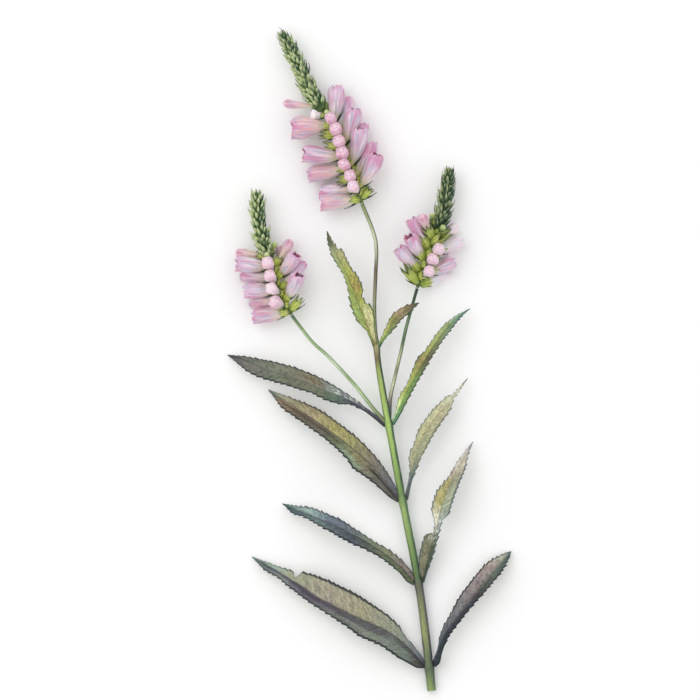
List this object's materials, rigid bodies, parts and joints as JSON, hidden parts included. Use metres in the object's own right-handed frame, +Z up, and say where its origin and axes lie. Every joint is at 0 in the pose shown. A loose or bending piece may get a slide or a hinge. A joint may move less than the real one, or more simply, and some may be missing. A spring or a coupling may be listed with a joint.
{
  "type": "obedient plant flower spike",
  "caption": "Cut stem of obedient plant lying down: square stem, toothed lance leaves in pairs, and spikes of pink two-lipped florets with green bud tips.",
  "frame": {"origin": "middle of the object's footprint, on the surface it lies on", "axes": "+Y along the stem from the cut end to the top spike, +Z up from the surface, +X towards the leaf side that the picture shows on the right"},
  "size_m": [0.1854, 0.4304, 0.03],
  "materials": {
    "stem": "satin",
    "leaf": "matte",
    "calyx": "satin",
    "petal": "satin"
  },
  "bodies": {
    "root": {"bloom_left_front_1": "petal", "bloom_left_front_2": "petal", "bloom_left_front_3": "petal", "bloom_left_front_4": "petal", "bloom_left_left_1": "petal", "bloom_left_left_2": "petal", "bloom_left_left_3": "petal", "bloom_left_left_4": "petal", "bloom_left_left_5": "petal", "bloom_left_left_6": "petal", "bloom_left_right_2": "petal", "bloom_left_right_3": "petal", "bloom_left_right_4": "petal", "bloom_left_right_5": "petal", "bloom_right_front_1": "petal", "bloom_right_front_2": "petal", "bloom_right_front_3": "petal", "bloom_right_left_2": "petal", "bloom_right_left_3": "petal", "bloom_right_left_4": "petal", "bloom_right_left_5": "petal", "bloom_right_right_1": "petal", "bloom_right_right_2": "petal", "bloom_right_right_3": "petal", "bloom_right_right_4": "petal", "bloom_right_right_5": "petal", "bloom_top_front_1": "petal", "bloom_top_front_2": "petal", "bloom_top_front_3": "petal", "bloom_top_front_4": "petal", "bloom_top_front_5": "petal", "bloom_top_front_6": "petal", "bloom_top_front_7": "petal", "bloom_top_left_1": "petal", "bloom_top_left_10": "petal", "bloom_top_left_2": "petal", "bloom_top_left_4": "petal", "bloom_top_left_5": "petal", "bloom_top_left_8": "petal", "bloom_top_right_2": "petal", "bloom_top_right_3": "petal", "bloom_top_right_4": "petal", "bloom_top_right_5": "petal", "bloom_top_right_6": "petal", "bloom_top_right_7": "petal", "bloom_top_right_8": "petal", "leaf_1_left": "leaf", "leaf_1_right": "leaf", "leaf_2_left": "leaf", "leaf_2_right": "leaf", "leaf_3_left": "leaf", "leaf_3_right": "leaf", "leaf_4_left": "leaf", "leaf_4_right": "leaf", "leaf_5_left": "leaf", "leaf_5_right": "leaf", "spike_left": "calyx", "spike_right": "calyx", "spike_top": "calyx", "stem": "stem"}
  },
  "joints": []
}
